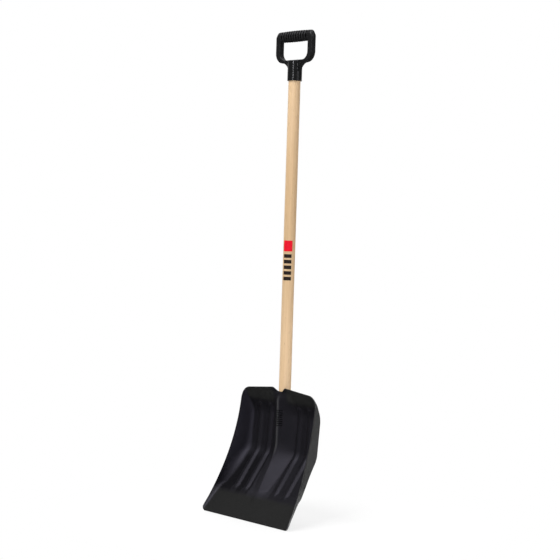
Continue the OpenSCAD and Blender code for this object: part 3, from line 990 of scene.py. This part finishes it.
def printed_film(name, tone, worn):
    """Transfer print on the wood: even ink, slightly worn through along the grain."""
    s = Shader(name)
    fibre = s.noise(s.stretch((1100, 1100, 14)), 1.0, 3, 0.6)
    cloud = s.noise(s.place, 160, 3)
    color = s.blend(s.fit(cloud, 0.35, 0.7, 0, 0.5), tone, tuple(0.75 * c for c in tone))
    color = s.blend(s.fit(fibre, 0.66, 0.74, 0, 0.5), color, worn)
    rough = s.fit(cloud, 0.3, 0.7, 0.34, 0.5)
    relief = s.bump(fibre, 0.0001, 0.4)
    return s.finish(**{
        "Base Color": color, "Roughness": rough, "Normal": relief, "Specular IOR Level": 0.2})


FADE_FROM = 0.15                         # metres from the shaft's axis
FADE_TO = 0.60
FADE_NEAR = 0.78                         # share of white right under the shovel


def pale_floor(name):
    """Pale matt floor that the camera sees fade into the white backdrop. It is dim in reflections."""
    s = Shader(name)
    color = s.blend(s.noise(s.place, 1.5, 2), grey(0.86), grey(0.90))
    s.finish(**{"Base Color": color, "Roughness": 0.8, "Specular IOR Level": 0.2})
    surface = s.out.inputs["Surface"].links[0].from_socket
    path = s.tree.nodes.new("ShaderNodeLightPath").outputs
    away = s.node("VectorMath", {0: s.place, 1: (0.0, -AXIS_Y * MM, 0.0)}, operation="ADD").outputs[0]
    span = s.node("VectorMath", {0: away}, operation="LENGTH").outputs["Value"]
    fade = s.fit(span, FADE_FROM, FADE_TO, curve="SMOOTHSTEP")
    white = s.node("Emission", {"Color": (1, 1, 1, 1)}).outputs[0]
    faded = s.times(s.fit(fade, 0, 1, FADE_NEAR, 1), path["Is Camera Ray"])
    mix = s.node("MixShader", {0: faded, 1: surface, 2: white}).outputs[0]
    dim = s.node("Emission", {"Color": (*grey(0.08), 1)}).outputs[0]
    mix = s.node("MixShader", {0: path["Is Glossy Ray"], 1: mix, 2: dim}).outputs[0]
    s.put(s.out.inputs["Surface"], mix)
    return s.material


def paint_node(name, material):
    """Gives a CAD node that stays in sight its material."""
    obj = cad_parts[name]
    obj.data.materials.clear()
    obj.data.materials.append(material)


# ---- stage ---------------------------------------------------------------------------------------

VIEW_AZIMUTH = math.radians(48)          # the camera stands in front of the scoop and to its right
VIEW_DISTANCE = 3.872
VIEW_HEIGHT = 0.740
VIEW_ROLL = math.radians(1.8)
VIEW_SHIFT = (-0.0183, -0.1107)          # keeps the camera level, with the whole shovel in frame
SHIFT_REACH = 0.02
VIEW_LENS = 99.96
SENSOR_W = 36.0


def shift_at_view_height(camera):
    """Lens shift for the studio view alone: it is gone when the camera stands at another height."""
    for channel, shift in zip(("shift_x", "shift_y"), VIEW_SHIFT):
        curve = camera.data.driver_add(channel)
        curve.driver.type = "SUM"
        height = curve.driver.variables.new()
        height.type = "TRANSFORMS"
        height.targets[0].id = camera
        height.targets[0].transform_type = "LOC_Z"
        for modifier in list(curve.modifiers):
            curve.modifiers.remove(modifier)
        curve.extrapolation = "CONSTANT"
        for z, value in ((-SHIFT_REACH, 0), (0, shift), (SHIFT_REACH, 0)):
            curve.keyframe_points.insert(VIEW_HEIGHT + z, value).interpolation = "LINEAR"


def add_camera():
    """A level camera at the studio view, turned a little round its own line of sight."""
    camera = bpy.data.objects.new("camera", bpy.data.cameras.new("camera"))
    bpy.context.scene.collection.objects.link(camera)
    camera.data.lens = VIEW_LENS
    camera.data.sensor_width = SENSOR_W
    camera.data.clip_end = 50
    shift_at_view_height(camera)
    away = Vector((math.sin(VIEW_AZIMUTH), -math.cos(VIEW_AZIMUTH), 0))
    spot = Vector((0, AXIS_Y * MM, VIEW_HEIGHT)) + away * VIEW_DISTANCE
    forward = -away
    right = forward.cross(Vector((0, 0, 1))).normalized()
    up = right.cross(forward)
    turn = Matrix.Rotation(-VIEW_ROLL, 3, forward)
    right, up = turn @ right, turn @ up
    basis = Matrix((right, up, -forward)).transposed().to_4x4()
    camera.matrix_world = Matrix.Translation(spot) @ basis
    bpy.context.scene.camera = camera


def add_softbox(name, azimuth, elevation, distance, size, power, aim_height=0.6, spread=180):
    """An area light that faces the shovel. Azimuth runs from the scoop's front towards +X."""
    data = bpy.data.lights.new(name, "AREA")
    data.shape = "RECTANGLE"
    data.size, data.size_y = size
    data.energy = power
    data.spread = math.radians(spread)
    light = bpy.data.objects.new(name, data)
    bpy.context.scene.collection.objects.link(light)
    a, e = math.radians(azimuth), math.radians(elevation)
    aim = Vector((0, AXIS_Y * MM, aim_height))
    offset = Vector((math.sin(a) * math.cos(e), -math.cos(a) * math.cos(e), math.sin(e)))
    light.location = aim + offset * distance
    light.rotation_euler = (-offset).to_track_quat("-Z", "Y").to_euler()


def add_world():
    """White for the camera. Matt surfaces see an even studio, glossy ones a dark room and a bright wall."""
    world = bpy.data.worlds.new("studio")
    bpy.context.scene.world = world
    world.use_nodes = True
    tree = world.node_tree
    tree.nodes.clear()
    path = tree.nodes.new("ShaderNodeLightPath")
    along = tree.nodes.new("ShaderNodeVectorMath")
    along.operation = "DOT_PRODUCT"
    along.inputs[1].default_value = (-math.sin(VIEW_AZIMUTH), math.cos(VIEW_AZIMUTH), 0.1)
    tree.links.new(tree.nodes.new("ShaderNodeTexCoord").outputs["Generated"], along.inputs[0])

    def backdrop(start, stop, low, high):
        """A light that grows from low to high towards the wall behind the shovel."""
        ramp = tree.nodes.new("ShaderNodeMapRange")
        ramp.interpolation_type = "SMOOTHSTEP"
        for key, value in (("From Min", start), ("From Max", stop), ("To Min", low), ("To Max", high)):
            ramp.inputs[key].default_value = value
        tree.links.new(along.outputs["Value"], ramp.inputs["Value"])
        light = tree.nodes.new("ShaderNodeBackground")
        tree.links.new(ramp.outputs["Result"], light.inputs["Color"])
        return light.outputs[0]

    result = backdrop(0.15, 0.75, 0.12, 0.95)
    for ray, light in (
            ("Is Glossy Ray", backdrop(0.55, 0.90, 0.06, 0.80)),
            ("Is Camera Ray", backdrop(-2.0, -1.5, 1.0, 1.0))):
        mix = tree.nodes.new("ShaderNodeMixShader")
        tree.links.new(path.outputs[ray], mix.inputs["Fac"])
        tree.links.new(result, mix.inputs[1])
        tree.links.new(light, mix.inputs[2])
        result = mix.outputs[0]
    tree.links.new(result, tree.nodes.new("ShaderNodeOutputWorld").inputs["Surface"])


FLOOR_HALF = 6.0
FLOOR_POINTS = 24
FLOOR_GAP = 0.0003                       # the floor lies just under the leading edge


def add_floor():
    line = np.linspace(-FLOOR_HALF, FLOOR_HALF, FLOOR_POINTS)
    x, y = np.meshgrid(line, line + AXIS_Y * MM, indexing="ij")
    points = np.stack([x, y, np.full_like(x, CAD_BOX[0][2] - FLOOR_GAP)], axis=-1).reshape(-1, 3)
    index = np.arange(FLOOR_POINTS ** 2).reshape(FLOOR_POINTS, FLOOR_POINTS)
    quads = np.stack([index[:-1, :-1], index[1:, :-1], index[1:, 1:], index[:-1, 1:]], axis=-1)
    floor = make_mesh("floor", points, quads.reshape(-1, 4), pale_floor("floor"))


def build_shovel():
    """Makes the visible pieces, and paints the CAD's screws and printed films."""
    violet = ((0.0078, 0.0075, 0.0096), (0.0105, 0.0101, 0.0122))
    neutral = ((0.0072, 0.0072, 0.0076), (0.0118, 0.0118, 0.0122))
    blade_plastic = scoop_plastic("blade_plastic", 0.48, violet, (0.84, 0.80, 1.0))
    ring_plastic = grip_plastic("grip_plastic", neutral, (0.95, 0.95, 1.0))
    wood = ash_wood("ash_wood")
    steel = zinc_steel("zinc_steel")
    place(build_scoop(blade_plastic), "black_plastic", "blade")
    place(build_back(blade_plastic), "black_plastic", "blade")
    place(build_grip(ring_plastic), "black_plastic", "d_grip")
    place(build_shaft(wood), "ash_wood", "shaft")
    paint_node("blade_screws", steel)
    paint_node("grip_screw", steel)
    red = printed_film("red_ink", (0.79, 0.003, 0.020), (0.82, 0.12, 0.10))
    black = printed_film("black_ink", (0.022, 0.014, 0.012), (0.30, 0.19, 0.10))
    paint_node("shaft_mark_red", red)
    paint_node("shaft_mark_black", black)


def build_stage():
    """World, floor, softboxes and camera."""
    add_world()
    add_floor()
    add_softbox("key", 2, 55, 5.0, (2.6, 2.2), 200)
    add_softbox("side", 100, 26, 4.0, (1.6, 2.2), 30)
    add_softbox("low_side", 96, 12, 2.4, (0.9, 0.7), 1.0, aim_height=0.1, spread=50)
    add_softbox("strip", 20, 5, 2.8, (0.10, 0.8), 12, aim_height=1.1)
    add_softbox("overhead", -150, 75, 4.0, (3.0, 3.0), 60)
    add_camera()
    bpy.context.scene.view_settings.view_transform = "Standard"


build_shovel()
build_stage()
